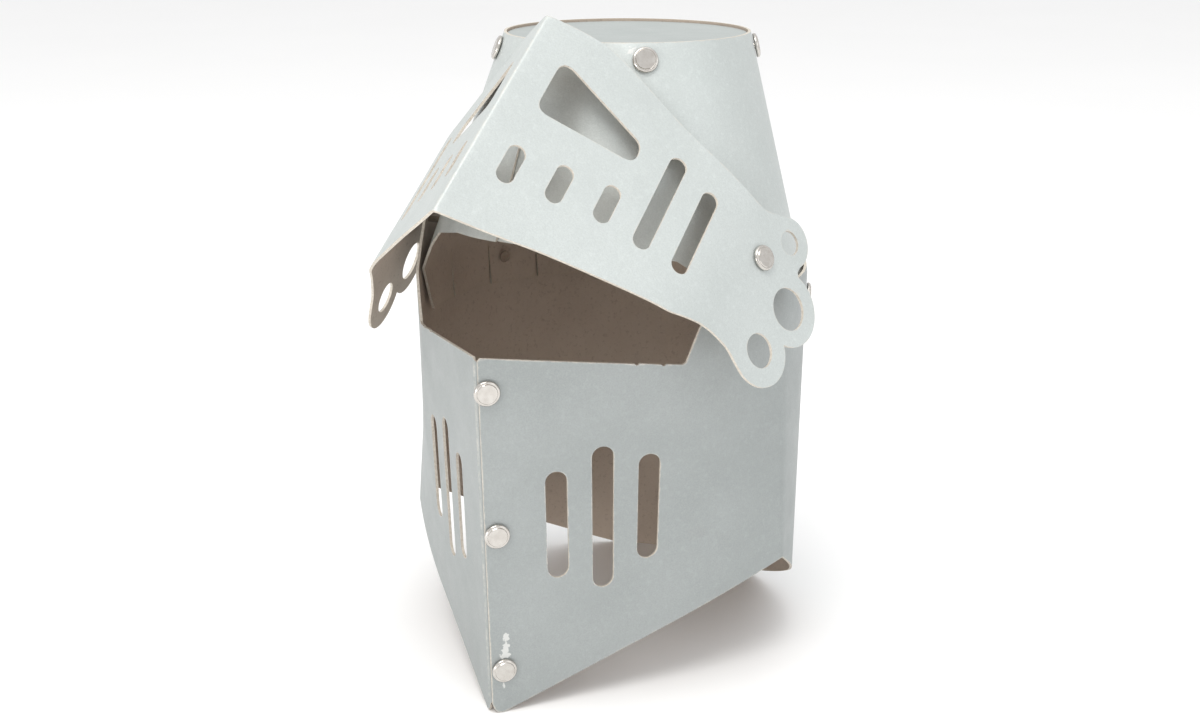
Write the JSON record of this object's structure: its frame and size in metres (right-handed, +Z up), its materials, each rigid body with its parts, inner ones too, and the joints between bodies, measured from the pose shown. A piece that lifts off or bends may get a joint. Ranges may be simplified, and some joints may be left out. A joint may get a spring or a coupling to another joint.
{
  "type": "toy knight helmet",
  "caption": "Die-cut silver card knight helmet with a cone-shaped crown, a wall that meets in a prow, and a folded visor that swings on ear rivets.",
  "frame": {"origin": "middle of the footprint of the whole helmet, on the surface that it stands on", "axes": "+Z up through the crown; the face looks along -Y; the wearer's left is +X"},
  "size_m": [0.2082, 0.237, 0.2966],
  "materials": {
    "silver_card": "satin silver laminate outside, bare taupe board inside, cream cut edges",
    "lid_card": "satin silver laminate on top, bare taupe board beneath",
    "nickel": "bright nickel, lightly scratched"
  },
  "bodies": {
    "helmet": {"crown_cone": "silver_card", "crown_lid": "lid_card", "neck_wall": "silver_card", "prow_rivet_1": "nickel", "prow_rivet_2": "nickel", "prow_rivet_3": "nickel", "rim_rivet_1": "nickel", "rim_rivet_2": "nickel", "rim_rivet_3": "nickel", "rim_rivet_4": "nickel", "rear_rivet_left": "nickel", "rear_rivet_right": "nickel"},
    "visor": {"visor_plate": "silver_card", "pivot_rivet_left": "nickel", "pivot_rivet_right": "nickel"}
  },
  "joints": [
    {"name": "visor_swing", "type": "hinge", "parent": "helmet", "child": "visor", "pos_m": [-0.00227, -0.00338, 0.198], "axis": [1, 0, 0], "range_deg": [0, 50]}
  ]
}
